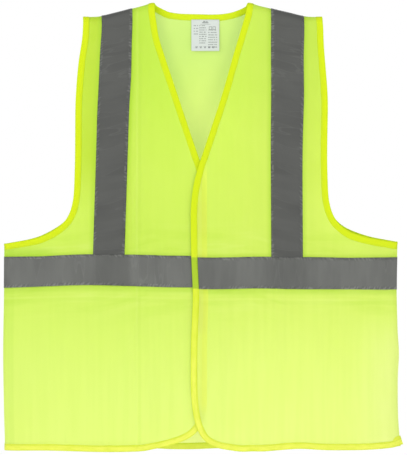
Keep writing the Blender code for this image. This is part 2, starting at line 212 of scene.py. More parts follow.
def drop(x):
    """How far the shoulder line lies below the neck point."""
    reach = min(abs(x), LEVEL_TO)
    past = max(reach - LEVEL_FROM, 0)
    if reach < NECK_POINT + NECK_EASE:
        return SHOULDER_SLOPE * max(reach - NECK_POINT + NECK_EASE, 0) ** 2 / (4 * NECK_EASE)
    return SHOULDER_SLOPE * (reach - NECK_POINT - past**2 / (2 * (LEVEL_TO - LEVEL_FROM)))


def front(x, down):
    """The flat point on the front that lies this far below the neck point."""
    return (x, -(down - drop(x) + QUARTER - RIDGE))


def back(x, down):
    """The same on the back."""
    return (x, down - drop(x) + QUARTER - RIDGE)


def middle(x, v, lap=0):
    """Where evenly hanging cloth lies. lap is -1 on the top front, 1 on the under one and else 0."""
    side = -1 if v < 0 else 1
    along = abs(v)
    t = min(max((abs(x) - PLATEAU) / (HALF_WIDTH - PLATEAU), 0.0), 1.0)
    full = (1 - t * t) ** FULLNESS
    angle = max(QUARTER - along, 0) / RIDGE
    hanging = max(along - QUARTER, 0)
    steeper = BEND * sum(max(along - row, 0) for row in BENDS)
    depth = (RIDGE + FLARE * (drop(x) + hanging) - steeper) * full
    height = drop(x) + RIDGE - RIDGE * math.sin(angle) + hanging
    shift = lap * LAP_SHIFT * smooth((LAP_FROM + lap * x) / (LAP_FROM - LAP_TO))
    return Vector((x, side * depth * math.cos(angle) + shift, -height))


def relief(x, v):
    """How far the cloth stands out from its even hang. It is the same for every layer on one face."""
    down = abs(v)
    seed = 0 if v < 0 else BACK_SEED
    growth = rise(down, *FALL)
    out = 0.0
    for wide, long, own_seed, height, more in FOLDS:
        out += (height + more * growth) * noise.noise((x / wide, down / long, seed + own_seed))
    out += sum(wavy(x - at, CREASE_SECTION) for at in CREASES)
    out += wavy(down - CROSS_CREASE, CROSS_SECTION)
    pitch, height, reach = WAIST_PUCKERS
    near = bump(down, WAIST_TOP, reach) + bump(down, WAIST_TOP + TAPE_WIDTH, reach)
    out += height * noise.noise((x / pitch, 0, seed + 31)) * near
    pitch, height, reach = BRACE_PUCKERS
    near = sum(bump(abs(x), BRACE_X + half, reach) for half in (-TAPE_WIDTH / 2, TAPE_WIDTH / 2))
    near *= smooth((WAIST_TOP - down) / 20)
    out += height * noise.noise((down / pitch, 3, seed)) * near
    return out * smooth((HALF_WIDTH - abs(x)) / HELD_AT_SIDE) * rise(down, *FREE_BELOW_RIDGE)


def stray(x, v, lap=0):
    """How far the cloth has moved sideways and down from where it was cut to hang."""
    down = abs(v)
    reach = abs(x)
    word = "left" if lap < 0 or (lap == 0 and x > 0) else "right"
    outer = smooth((reach - SIDE_FROM) / (HALF_WIDTH - SIDE_FROM))
    sideways = outer * wavy(down, SIDE_WAVES[word])
    sideways += rise(reach, *SHOULDER_FROM) * (1 - outer) * wavy(down, SHOULDER_WAVES[word])
    sinking = rise(down, *HEM_FROM) * wavy(x, HEM_WAVES) * (1 if v < 0 else BACK_HEM_SHARE)
    sinking -= spot(reach, down, *NECK_RISE)
    if v < 0:
        waist = WAIST_TOP + TAPE_WIDTH / 2 + QUARTER - RIDGE
        sinking += bump(down, waist, WAIST_REACH) * wavy(x, WAIST_WAVES[word])
        sinking += spot(reach, down, *ARMHOLE_SAG)
    else:
        sinking += rise(down, *BACK_HEM_FROM) * wavy(x, BACK_HEM_WAVES)
    if x < 0:
        sinking += rise(reach, *UNDERARM_FROM) * wavy(down, [UNDERARM_SAG])
        sideways = spot(x, down, *BRACE_SWAY) - sideways
    if lap < 0:
        sideways += spot(x, down, *TOP_FRONT_SWAY)
    return Vector((sideways, 0, -sinking))


def place(x, v, lift=0.0, lap=0):
    """The point of the garment at a flat point, lift outwards from the cloth, in metres."""
    step = 0.01
    across = middle(x + step, v, lap) - middle(x - step, v, lap)
    around = middle(x, v + step, lap) - middle(x, v - step, lap)
    normal = across.cross(around).normalized()
    return (middle(x, v, lap) + normal * (lift + relief(x, v)) + stray(x, v, lap)) * MM


# ---- flat outlines


def curve(points, pieces=8):
    """A smooth line through flat points."""
    p = [Vector(a) for a in points]
    p = [2 * p[0] - p[1], *p, 2 * p[-1] - p[-2]]
    line = []
    for i in range(1, len(p) - 2):
        for k in range(pieces):
            t = k / pieces
            tangents = (p[i + 1] - p[i - 1]) * (t**3 - 2 * t**2 + t) / 2
            tangents += (p[i + 2] - p[i]) * (t**3 - t**2) / 2
            line.append(p[i] * (1 - smooth(t)) + p[i + 1] * smooth(t) + tangents)
    return [tuple(a) for a in line] + [tuple(p[-2])]


def evenly(line, step):
    """Points at even steps along a line, with its ends kept."""
    line = [Vector(p) for p in line]
    reach = [0.0]
    for a, b in zip(line, line[1:]):
        reach.append(reach[-1] + (b - a).length)
    count = max(round(reach[-1] / step), 1)
    made = []
    i = 0
    for k in range(count + 1):
        want = reach[-1] * k / count
        while i < len(line) - 2 and reach[i + 1] < want:
            i += 1
        share = (want - reach[i]) / max(reach[i + 1] - reach[i], 1e-9)
        made.append(tuple(line[i].lerp(line[i + 1], share)))
    return made


def inwards(line, i, side):
    """The unit vector into the cloth at point i of a line. side is 1 with the cloth left of the line."""
    ahead = Vector(line[min(i + 1, len(line) - 1)]) - Vector(line[max(i - 1, 0)])
    ahead.normalize()
    return Vector((-ahead.y, ahead.x)) * side


def inset(line, side, by=INSET):
    """The line moved into the cloth."""
    return [tuple(Vector(p) + inwards(line, i, side) * by) for i, p in enumerate(line)]


def mirrored(line):
    """The same line on the other side of the garment."""
    return [(-x, v) for x, v in line]


def back_neck():
    """Round the back of the neck from the right ridge to the left one."""
    points = [(-71.6, 2.4), (-64, 7.0), (-57, 10.4), (-50, 13.2), (-34, 15.6), (-16, 16.3), (0, 16.6)]
    points += [(16, 17), (34, 16.2), (50, 13.4), (64, 8.2), (71.6, 4)]
    return [(-NECK_HALF, 0.0), *[back(x, down) for x, down in points], (NECK_HALF, 0.0)]


def under_front():
    """The right front's bound edge, from the shoulder ridge down the neck and front to its hem."""
    points = [(-73.3, 14), (-70.5, 33), (-66.8, 55), (-56.5, 88), (-37, 146), (-20, 197), (-8.7, 230)]
    points += [(2, 262), (7.8, 290)]
    points += [(UNDER_EDGE, down) for down in (325, 380, 460, 540, 610)]
    points += [(7.5, 645), (1, 668), (-9, 682), (-24, 692), (-45, 699.5), (-67, 704.5), (-84, 707.5)]
    points += [(-100, LENGTH)]
    return [(-NECK_HALF, 0.0)] + [front(x, down) for x, down in points]


def top_front():
    """The left front's bound edge, drawn on the right."""
    points = [(71.5, 14), (66.8, 31), (60.6, 52), (51.5, 82), (36, 137), (19, 190), (5.6, 230)]
    points += [(-5, 262), (-12, 290)]
    points += [(TOP_EDGE, down) for down in (325, 380, 460, 540, 605)]
    points += [(-14.2, 636), (-9.6, 664), (-1.5, 684), (9.5, 696.5), (25, 704.3), (43, 707.6), (68, 708.8)]
    points += [(100, LENGTH)]
    return [(-NECK_HALF, 0.0)] + [front(-x, down) for x, down in points]


def front_hem(corner, tail=0.0):
    """The right front's hem, outwards from its round corner. corner is how low the far end lies."""
    span = HALF_WIDTH + tail - HEM_START
    count = round(span / HEM_STEP)
    line = []
    for k in range(count + 1):
        x = HEM_START + span * k / count
        raised = (LENGTH - corner) * (max(min(x, HALF_WIDTH) - HEM_BEND, 0) / (HALF_WIDTH - HEM_BEND)) ** 2
        if tail:
            raised += TAB_SLOPE * max(x - TAB_FROM, 0)
        line.append(front(-x, LENGTH - raised))
    return line


def armhole():
    """The left armhole, from the front underarm over the shoulder to the back underarm."""
    low = [(313, UNDERARM), (310, 378.2), (306, 377.6), (301, 376.6), (294, 375.4), (285, 373.8)]
    low += [(273, 371.4), (260, 367.8), (248, 363.8), (236, 358.8), (226, 353.2), (216, 344.5)]
    low += [(208.8, 333), (204.4, 319), (201.8, 300)]
    low += [(200.2, 255), (199.6, 205), (198.6, 156), (195, 100), (191.2, 60), (190, 35)]
    up = [front(x, down) for x, down in low]
    over = [(SHOULDER_HALF, -QUARTER), (SHOULDER_HALF, 0.0), (SHOULDER_HALF, QUARTER)]
    return curve(up + over + [(x, -v) for x, v in reversed(up)], 6)


def area_of(outline):
    """The flat area inside an outline, in square metres."""
    pairs = zip(outline, outline[1:] + outline[:1])
    return abs(sum(a[0] * b[1] - b[0] * a[1] for a, b in pairs)) / 2 * MM * MM


# ---- materials


class Nodes:
    """A node tree under construction."""

    def __init__(self, tree):
        self.tree = tree

    def fill(self, socket, value):
        """Links another node's socket, or sets a value."""
        if isinstance(value, bpy.types.NodeSocket):
            self.tree.links.new(value, socket)
        else:
            socket.default_value = (*value, 1) if socket.type == "RGBA" else value

    def add(self, kind, inputs, **settings):
        """A node with its settings, and its inputs filled by name or number."""
        node = self.tree.nodes.new(kind)
        for key, value in settings.items():
            setattr(node, key, value)
        for key, value in inputs.items():
            self.fill(node.inputs[key], value)
        return node

    def math(self, operation, a, b=0.0, c=0.0):
        return self.add("ShaderNodeMath", {0: a, 1: b, 2: c}, operation=operation).outputs[0]

    def times(self, a, b):
        return self.math("MULTIPLY", a, b)

    def size_of(self, a):
        return self.math("ABSOLUTE", a)

    def off(self, a, centre):
        """How far a value lies from another one."""
        return self.size_of(self.math("SUBTRACT", a, centre))

    def ramp(self, factor, low, high, to_low=0.0, to_high=1.0):
        inputs = dict(enumerate((factor, low, high, to_low, to_high)))
        return self.add("ShaderNodeMapRange", inputs, interpolation_type="SMOOTHSTEP").outputs[0]

    def band(self, value, low, high, soft):
        """1 where a value lies between two others, with soft ends."""
        rising = self.ramp(value, low - soft / 2, low + soft / 2)
        return self.times(rising, self.ramp(value, high - soft / 2, high + soft / 2, 1.0, 0.0))

    def waves(self, a, pitch):
        """A sine of a coordinate in millimetres, from 0 to 1."""
        turned = self.math("MULTIPLY_ADD", a, 2 * math.pi / pitch, 0.0)
        return self.math("MULTIPLY_ADD", self.math("SINE", turned), 0.5, 0.5)

    def noise(self, vector, scale, detail=2.0, stretch=(1, 1, 1)):
        mapped = self.add("ShaderNodeMapping", {"Vector": vector, "Scale": stretch}).outputs[0]
        inputs = {"Vector": mapped, "Scale": scale, "Detail": detail}
        return self.add("ShaderNodeTexNoise", inputs).outputs["Fac"]

    def mix(self, factor, a, b):
        return self.add("ShaderNodeMix", {0: factor, 6: a, 7: b}, data_type="RGBA").outputs[2]


class Look(Nodes):
    """A material under construction, and its colour so far."""

    def __init__(self, name, colour=None):
        self.colour = colour
        self.material = bpy.data.materials.new(name)
        self.material.use_nodes = True
        super().__init__(self.material.node_tree)
        self.shader = self.tree.nodes["Principled BSDF"]

    def attribute(self, name):
        """A point attribute, and its first two components."""
        kept = {"attribute_type": "GEOMETRY", "attribute_name": name}
        vector = self.add("ShaderNodeAttribute", {}, **kept).outputs["Vector"]
        parts = self.add("ShaderNodeSeparateXYZ", {0: vector}).outputs
        return vector, parts[0], parts[1]

    def over(self, factor, other):
        """Mixes another colour in."""
        self.colour = self.mix(factor, self.colour, other)

    def tint(self, mask, share, other):
        """Mixes in a share of another colour where a mask is 1."""
        self.over(self.times(mask, share), other)

    def paint(self, **surface):
        """Sets the base colour and other sockets, which are named with underscores for spaces."""
        self.fill(self.shader.inputs["Base Color"], self.colour)
        for key, value in surface.items():
            self.fill(self.shader.inputs[key.replace("_", " ")], value)

    def bumped(self, height, strength, distance):
        """Bump of a height that runs from 0 to 1, distance in millimetres."""
        inputs = {"Strength": strength, "Distance": distance * MM, "Height": height}
        self.fill(self.shader.inputs["Normal"], self.add("ShaderNodeBump", inputs).outputs[0])

    def seen_through(self, glow, gaps):
        """Lets a share of the light behind glow through the threads, and a share through the gaps."""
        glowing = self.add("ShaderNodeBsdfTranslucent", {"Color": self.colour})
        clear = self.add("ShaderNodeBsdfTransparent", {})
        last = self.shader.outputs[0]
        for share, shader in ((glow, glowing), (gaps, clear)):
            last = self.add("ShaderNodeMixShader", {0: share, 1: last, 2: shader.outputs[0]}).outputs[0]
        self.fill(self.tree.nodes["Material Output"].inputs["Surface"], last)


def knit_painted_light(look, at):
    """Painted light and shade: deeper high up and on the right, paler towards the hem, as if more light
    fell from below.
    """
    left = look.ramp(at.x, -140, 140)
    upper = look.mix(left, (0.555, 0.81, 0.060), (0.615, 0.825, 0.095))
    chest = look.mix(left, (0.650, 0.86, 0.105), (0.690, 0.87, 0.125))
    hem = look.mix(left, (0.760, 0.915, 0.205), (0.810, 0.935, 0.235))
    look.colour = look.mix(look.ramp(at.down, 40, 330), upper, chest)
    look.over(look.ramp(at.down, 370, 640), hem)


def knit_painted_patches(look, at):
    """Painted light and shade: darker high on the back and in the strips beside the armholes, paler on the
    back at chest height and near its hem, and paler low on the left side.
    """
    # Painted shade high up the back
    upper_back = look.times(at.behind, look.ramp(at.down, 190, 30))
    look.tint(upper_back, 0.75, (0.50, 0.74, 0.12))
    # Painted light on the back at chest height and near its hem
    chest = look.times(look.band(at.down, 160, 300, 110), 0.40)
    paler_back = look.times(at.behind, look.math("MAXIMUM", look.ramp(at.down, 610, 680), chest))
    look.tint(paler_back, 0.8, (0.92, 0.99, 0.24))
    # Painted shade in the strips beside the armholes
    strip_beside_arm = look.times(look.ramp(at.reach, 150, 172), look.ramp(at.down, 340, 250))
    look.tint(strip_beside_arm, look.ramp(at.x, -20, 20, 0.9, 0.3), (0.54, 0.74, 0.035))
    # Painted light low on the left side
    left_side = look.times(look.ramp(at.x, 225, 300), look.ramp(at.down, 480, 560))
    look.tint(left_side, 0.8, (0.84, 0.93, 0.31))


def knit_streaks_and_ripple_light(look, at):
    """Soft streaks down the cloth, blotches, and painted highlights and painted shade on the ripples where
    the waist tape pulls.
    """
    streaks = look.noise(at.flat, 0.11, 3, (1, 0.05, 1))
    look.over(look.ramp(streaks, 0.3, 0.7, 0.0, 0.10), (0.52, 0.78, 0.06))
    blotches = look.noise(at.flat, 0.012, 2)
    look.over(look.ramp(blotches, 0.35, 0.7, 0.0, 0.14), (0.76, 0.92, 0.16))
    from_tape = look.off(at.down, WAIST_TOP + TAPE_WIDTH / 2)
    pulled = look.times(look.ramp(from_tape, 95, 30), at.in_front)
    pulls = look.noise(at.flat, 0.055, 3, (0.16, 1, 1))
    # Painted highlight and painted shade on the ripples
    pale, deep = [look.times(look.ramp(pulls, 0.50, end), pulled) for end in (0.68, 0.34)]
    look.tint(pale, 0.26, (0.82, 0.95, 0.26))
    look.tint(deep, 0.26, (0.50, 0.76, 0.04))


def knit_painted_shade(look, at):
    """Painted shade beside the braces, along both edges of the waist tape and below the right armhole, and
    a narrow darker band just inside the right side seam.
    """
    spread = look.ramp(at.x, -1, 1, RIGHT_BRACE_SPREAD, LEFT_BRACE_SPREAD)
    forward = look.ramp(at.signed_down, 0, -WAIST_TOP)
    from_brace = look.off(at.reach, look.math("MULTIPLY_ADD", spread, forward, BRACE_X))
    waist_bottom = WAIST_TOP + TAPE_WIDTH
    shade_bands = [  # where, and how deep
        (look.times(look.ramp(from_brace, 34, 26), look.ramp(at.down, 408, 400)), 0.42),
        (look.band(at.down, WAIST_TOP - 5, WAIST_TOP + 5, 5), 0.26),
        (look.band(at.down, waist_bottom - 5, waist_bottom + 8, 8), 0.34),
        (look.times(look.band(at.down, UNDERARM + 8, 420, 12), look.ramp(at.x, -215, -260)), 0.55),
        (look.band(at.x, -306, -297, 4), 0.13),
    ]
    for mask, share in shade_bands:
        look.tint(mask, share, (0.42, 0.70, 0.025))


def knit_crease_light(look, at):
    """Packing creases, each with a painted highlight on its ridge and painted shade along one side."""
    half = 1.8
    for value, ridge, shade in ((at.x, CREASES[0], 5.0), (at.down, CROSS_CREASE - 3, 6.0)):
        pale = look.band(value, ridge - half, ridge + half, 2.5)
        deep = look.band(value, ridge + half, ridge + half + shade, 3)
        look.tint(pale, 0.09, (0.86, 0.97, 0.30))
        look.tint(deep, 0.10, (0.50, 0.76, 0.05))


def knit_lap(look, at):
    """The under front's binding, seen through the top front, and the double cloth beside it."""
    lap = look.times(look.band(at.down, 262, 645, 30), at.in_front)
    under = look.times(lap, look.band(at.x, 1.0, UNDER_EDGE, 2.5))
    look.tint(under, 0.40, (0.95, 0.99, 0.10))
    beside = look.times(lap, look.band(at.x, TOP_EDGE + BINDING_WIDTH - 1, 1.0, 2.5))
    look.tint(beside, 0.35, (0.95, 1.0, 0.16))


def knit_look():
    """Warp-knitted polyester: fine upright wales, tiny staggered holes, and light coming through."""
    look = Look("fluorescent_knit")
    flat, x, v = look.attribute("flat")
    signed_down = look.attribute("run")[2]
    at = SimpleNamespace(flat=flat, x=x, signed_down=signed_down)
    at.down, at.reach = look.size_of(signed_down), look.size_of(x)
    at.in_front, at.behind = look.ramp(signed_down, 0, -1), look.ramp(signed_down, 0, 1)
    for layer in (knit_painted_light, knit_painted_patches, knit_streaks_and_ripple_light, knit_painted_shade, knit_crease_light, knit_lap):
        layer(look, at)
    staggered = look.times(look.waves(x, 1.15), look.waves(v, 1.5))
    look.tint(look.ramp(staggered, 0.70, 0.98), 0.11, (0.40, 0.66, 0.03))
    look.paint(Roughness=0.82, Specular_IOR_Level=0.25, Sheen_Weight=0.12, Sheen_Roughness=0.5)
    fibres = look.noise(flat, 1.4, 2)
    height = look.math("MULTIPLY_ADD", staggered, -0.8, look.math("MULTIPLY_ADD", fibres, 0.5, 0.8))
    look.bumped(height, 0.22, 0.25)
    look.seen_through(0.24, 0.10)
    return look.material


def binding_look():
    """Folded knitted tape: fine ribs along its length and a pucker at each stitch."""
    look = Look("bright_binding")
    run, along, across = look.attribute("run")
    down = look.size_of(look.attribute("flat")[2])
    ribs = look.waves(across, 0.95)
    # Painted light: darker high up and paler towards the hem, as if more light fell from below
    look.colour = look.mix(look.ramp(down, 330, 660), (0.72, 0.86, 0.008), (0.95, 0.99, 0.14))
    # Painted shade along both edges of the folded tape
    edges = look.ramp(look.off(across, 4.6), 2.0, 4.4, 0.0, 0.38)
    look.over(edges, (0.66, 0.82, 0.006))
    tone = look.noise(run, 0.05, 3, (1, 3, 1))
    look.over(look.ramp(tone, 0.35, 0.7, 0.0, 0.30), (0.68, 0.84, 0.008))
    look.tint(ribs, 0.10, (0.45, 0.66, 0.01))
    over_tape = look.band(down, WAIST_TOP + 5, WAIST_TOP + TAPE_WIDTH + 5, 3)
    look.tint(over_tape, 0.55, (0.20, 0.46, 0.03))
    look.paint(Roughness=0.75, Specular_IOR_Level=0.2, Sheen_Weight=0.05, Sheen_Roughness=0.4)
    puckers = look.waves(along, STITCH + STITCH_GAP)
    height = look.math("MULTIPLY_ADD", puckers, 0.5, look.times(ribs, 0.35))
    look.bumped(look.math("MULTIPLY_ADD", look.noise(run, 1.6, 2), 0.3, height), 0.5, 0.3)
    look.seen_through(0.14, 0.06)
    return look.material


def tape_fold_highlights(look, run, shade, glint_share):
    """Painted highlights on soft folds across the tape, and on fine lines along their crests."""
    folds = look.noise(run, 0.06, 2, (1.0, 0.13, 1.0))
    look.tint(look.ramp(folds, 0.38, 0.62), 0.20 * glint_share, shade(1.5))
    busy = look.ramp(look.noise(run, 0.012, 1, (1.0, 0.5, 1.0)), 0.46, 0.60)
    lines = look.times(look.ramp(look.off(folds, 0.5), 0.0, 0.022, 1.0, 0.0), busy)
    look.tint(lines, 0.13 * glint_share, shade(2.4))


def tape_puckers(look, run, along, across):
    """Where the stitched edges pucker, and where they dip."""
    half = TAPE_WIDTH / 2
    from_middle = look.off(across, half)
    near_edge = look.ramp(from_middle, half - 9, half - 1)
    slanted = look.math("MULTIPLY_ADD", from_middle, 0.7, along)
    wander = look.times(look.noise(run, 0.05, 3, (1.0, 0.05, 1.0)), 46.0)
    ripples = look.waves(look.math("ADD", slanted, wander), 7.0)
    patchy = look.ramp(look.noise(run, 0.035, 2), 0.36, 0.54)
    pucker = look.times(look.times(ripples, near_edge), patchy)
    return pucker, look.times(look.ramp(ripples, 0.25, 0.02), near_edge)


def tape_look(name, grey, glint_share):
    """Reflective tape: a dull grey beaded face on a woven backing. The last argument sets how strong the
    painted highlights on its folds and puckers are.
    """
    look = Look(name)
    flat, x, v = look.attribute("flat")
    run, along, across = look.attribute("run")

    def shade(share):
        return [share * c for c in (grey, grey * 1.03, grey * 0.95)]

    clouds = look.noise(run, 0.022, 3, (1.0, 0.35, 1.0))
    look.colour = look.mix(look.ramp(clouds, 0.3, 0.7), shade(0.84), shade(1.16))
    tape_fold_highlights(look, run, shade, glint_share)
    pucker, dips = tape_puckers(look, run, along, across)
    # Painted highlights on the puckers along the stitched edges, and painted shade in the dips between
    # them
    look.tint(look.ramp(pucker, 0.4, 0.85), 0.42 * glint_share, shade(2.6))
    look.tint(dips, 0.42, shade(0.5))
    beads = look.noise(flat, 3.2, 1)
    look.over(look.ramp(beads, 0.3, 0.75, 0.0, 0.30), shade(0.7))
    crossing = look.ramp(look.off(look.size_of(x), BRACE_X + 6), 34, 22)
    look.tint(crossing, 0.34, shade(0.4))
    rough = look.ramp(clouds, 0.3, 0.7, 0.42, 0.56)
    look.paint(Roughness=rough, Specular_IOR_Level=0.4, Sheen_Weight=0.05)
    weave = look.times(look.waves(x, 0.62), look.waves(v, 0.62))
    height = look.math("MULTIPLY_ADD", beads, 0.25, look.times(weave, 0.15))
    look.bumped(look.math("MULTIPLY_ADD", pucker, 0.8, height), 0.45, 0.3)
    return look.material


def thread_look(name, colour):
    """Twisted polyester thread."""
    look = Look(name, colour)
    flat, x, v = look.attribute("flat")
    twist = look.waves(look.math("ADD", x, v), 0.5)
    look.tint(twist, 0.35, [c * 0.62 for c in colour])
    worn = look.ramp(look.noise(flat, 0.08, 2), 0.3, 0.7, 0.0, 0.2)
    look.over(worn, [min(c * 1.2, 1) for c in colour])
    look.paint(Roughness=0.55, Specular_IOR_Level=0.4)
    look.bumped(twist, 0.4, 0.08)
    return look.material


def pile_look(name, colour, pitch, fuzz):
    """The face of a hook or loop patch: rows of hooks, or a tangle of loops."""
    look = Look(name)
    flat, x, v = look.attribute("flat")
    rows = look.times(look.waves(x, pitch), look.waves(v, pitch))
    tangle = look.noise(flat, 1.1, 4)
    height = look.math("MULTIPLY_ADD", tangle, fuzz, look.times(rows, 1 - fuzz))
    # Painted shade in the hollows of the pile and painted highlight on its tops
    dark, pale = [c * 0.72 for c in colour], [min(c * 1.15, 1) for c in colour]
    look.colour = look.mix(look.ramp(height, 0.2, 0.7), dark, pale)
    look.paint(Roughness=0.75, Specular_IOR_Level=0.35, Sheen_Weight=0.2)
    look.bumped(height, 0.9, 0.6)
    look.seen_through(0.2, 0.0)
    return look.material


def satin_look():
    """White woven satin."""
    look = Look("label_satin", (0.59, 0.635, 0.60))
    flat, _, v = look.attribute("flat")
    weft = look.waves(v, 0.35)
    warp = look.noise(flat, 2.2, 2, (1, 0.15, 1))
    look.tint(weft, 0.12, (0.44, 0.48, 0.455))
    look.over(look.ramp(warp, 0.3, 0.7, 0.0, 0.2), (0.64, 0.68, 0.65))
    look.paint(Roughness=0.42, Specular_IOR_Level=0.5, Sheen_Weight=0.1)
    look.bumped(look.math("MULTIPLY_ADD", warp, 0.5, weft), 0.25, 0.1)
    return look.material


def ink_look():
    """Thin grey print."""
    look = Look("label_print")
    worn = look.noise(look.attribute("flat")[0], 1.3, 3)
    look.colour = look.mix(look.ramp(worn, 0.35, 0.7), (0.17, 0.19, 0.18), (0.30, 0.32, 0.31))
    look.paint(Roughness=0.6)
    look.bumped(worn, 0.2, 0.05)
    return look.material


def floor_look():
    """Matt and nearly white."""
    look = Look("studio_floor")
    grain = look.noise(look.add("ShaderNodeTexCoord", {}).outputs["Object"], 6.0, 3)
    look.colour = look.mix(look.ramp(grain, 0.3, 0.7), (0.965, 0.965, 0.96), (0.985, 0.985, 0.98))
    look.paint(Roughness=0.9, Specular_IOR_Level=0.1)
    return look.material


# ---- meshes and objects


def shown(name, data):
    """A new object in the scene."""
    made = bpy.data.objects.new(name, data)
    bpy.context.scene.collection.objects.link(made)
    return made


def build(name, points, faces, look, flat, run=None, thick=0.0):
    """A mesh piece from points in metres, with its flat coordinates kept for its material."""
    mesh = bpy.data.meshes.new(name)
    mesh.from_pydata(points, [], faces)
    for key, values in (("flat", flat), ("run", run or flat)):
        layer = mesh.attributes.new(key, "FLOAT_VECTOR", "POINT")
        layer.data.foreach_set("vector", [c for p in values for c in (p[0], p[1], 0.0)])
    mesh.materials.append(look)
    mesh.shade_smooth()
    made = shown(name, mesh)
    if thick:
        shell = made.modifiers.new("thickness", "SOLIDIFY")
        shell.thickness = thick * MM
        shell.offset = 0
        shell.use_even_offset = False
    return made


def hung(x, v):
    """A flat point as x and its distance below the neck point, negative on the front."""
    down = max(abs(v) + drop(x) - QUARTER + RIDGE, 0)
    return (x, -down if v < 0 else down)


def cut_piece(name, outline, look, cell, lift=0.0, lap=0, thick=0.0, extra=(), run_of=hung):
    """A flat outline cut into a fine grid and laid on the garment. extra holds more columns to cut at."""
    bm = bmesh.new()
    bm.faces.new([bm.verts.new((x, v, 0)) for x, v in outline])
    for axis, size in enumerate(cell):
        low, high = min(p[axis] for p in outline), max(p[axis] for p in outline)
        cuts = {size * k for k in range(math.ceil(low / size), math.floor(high / size) + 1)}
        if axis == 0:
            cuts |= {at for at in extra if low < at < high}
        normal = (1, 0, 0) if axis == 0 else (0, 1, 0)
        for at in sorted(cuts):
            point = (at, 0, 0) if axis == 0 else (0, at, 0)
            everything = [*bm.verts, *bm.edges, *bm.faces]
            bmesh.ops.bisect_plane(bm, geom=everything, dist=0.02, plane_co=point, plane_no=normal)
    bmesh.ops.triangulate(bm, faces=[face for face in bm.faces if len(face.verts) > 4])
    bm.verts.index_update()
    flat = [(vert.co.x, vert.co.y) for vert in bm.verts]
    faces = [[vert.index for vert in face.verts] for face in bm.faces]
    if sum(face.normal.z for face in bm.faces) < 0:
        faces = [face[::-1] for face in faces]
    bm.free()
    points = [place(x, v, lift, lap) for x, v in flat]
    run = [run_of(x, v) for x, v in flat]
    return build(name, points, faces, look, flat, run, thick)


def strip(name, sections, look, flat, run, thick=0.0):
    """A strip through sections, which are rows of points with the same number of points each."""
    columns = len(sections[0])
    points = [p for section in sections for p in section]
    faces = []
    for row in range(len(sections) - 1):
        for column in range(columns - 1):
            a = row * columns + column
            faces.append((a, a + 1, a + columns + 1, a + columns))
    return build(name, points, faces, look, flat, run, thick)


def binding(name, line, side, laps=None, keep=None, tab=False):
    """A tape folded round an edge. keep picks the points of the line that this piece covers.

    With tab, the far end is made wider, standing for an end turned in on itself.
    """
    legs = BINDING_PROFILE + [(a, -lift) for a, lift in reversed(BINDING_PROFILE[:-1])]
    sections, flat, run = [], [], []
    along = 0.0
    for i, point in enumerate(line):
        if i:
            along += (Vector(point) - Vector(line[i - 1])).length
        if keep and not keep[0] <= i <= keep[1]:
            continue
        into = inwards(line, i, side)
        width = BINDING_WIDTH * (1 + 0.045 * noise.noise((along / 17, 0, 5)))
        if tab:
            width *= 1 + TAB_WIDER * rise(point[0], TAB_FROM, 8)
        section = []
        for a, lift in legs:
            p = Vector(point) + into * a * width
            section.append(place(p.x, p.y, lift, laps[i] if laps else 0))
            flat.append((p.x, p.y))
            run.append((along, a * width))
        sections.append(section)
    return strip(name, sections, bright, flat, run, BINDING_THICK)


def add_tube(points, faces, rings, caps=True):
    """Adds a tube through rings of points."""
    sides = len(rings[0])
    first, last = len(points), len(points) + sides * (len(rings) - 1)
    points.extend(p for ring in rings for p in ring)
    for ring in range(first, last, sides):
        for side in range(sides):
            a, b = ring + side, ring + (side + 1) % sides
            faces.append((a, b, b + sides, a + sides))
    if caps:
        faces.append(tuple(first + side for side in reversed(range(sides))))
        faces.append(tuple(last + side for side in range(sides)))


def ring_of(centre, one, other, radius):
    """Points round a centre, from two directions across the thread. The radius is in millimetres."""
    turns = [2 * math.pi * side / THREAD_SIDES for side in range(THREAD_SIDES)]
    return [centre + (one * math.cos(turn) + other * math.sin(turn)) * radius * MM for turn in turns]


def stitches(name, line, lift, look, laps=None):
    """A row of thread stitches along a flat line."""
    line = [Vector(p) for p in evenly(line, (STITCH + STITCH_GAP) / 3)]
    lap_at = [laps[round(k * (len(laps) - 1) / (len(line) - 1))] if laps else 0 for k in range(len(line))]
    points, faces, flat = [], [], []
    for start in range(0, len(line) - 3, 3):
        a, b, c, d = line[start : start + 4]
        spots = [a, b, c, c.lerp(d, 0.4)]
        stitch_laps = lap_at[start : start + 4]
        centres = [place(p.x, p.y, lift + up, lap) for p, up, lap in zip(spots, THREAD_RISE, stitch_laps)]
        outwards = place(b.x, b.y, lift + 1, lap_at[start]) - place(b.x, b.y, lift, lap_at[start])
        outwards.normalize()
        sideways = (centres[3] - centres[0]).cross(outwards).normalized()
        girths = [THREAD_RADIUS * girth for girth in THREAD_GIRTH]
        rings = [ring_of(centre, outwards, sideways, girth) for centre, girth in zip(centres, girths)]
        add_tube(points, faces, rings)
        flat += [(p.x, p.y) for p in spots for _ in range(THREAD_SIDES)]
    return build(name, points, faces, look, flat)


def ride(body):
    """What puts a piece on a body."""

    def hang(piece):
        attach(piece, body)

    return hang


on_shell = ride("vest_shell")


def on_front(word, piece):
    """Bakes a piece on a front where it stands; it rides no body."""
    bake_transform(piece)


def wear(piece, slot, hang, *nodes):
    """Hides the frame nodes that a piece stands for and hands the piece to hang. slot is not used."""
    if nodes:
        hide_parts(*nodes)
    hang(piece)


# ---- the pieces


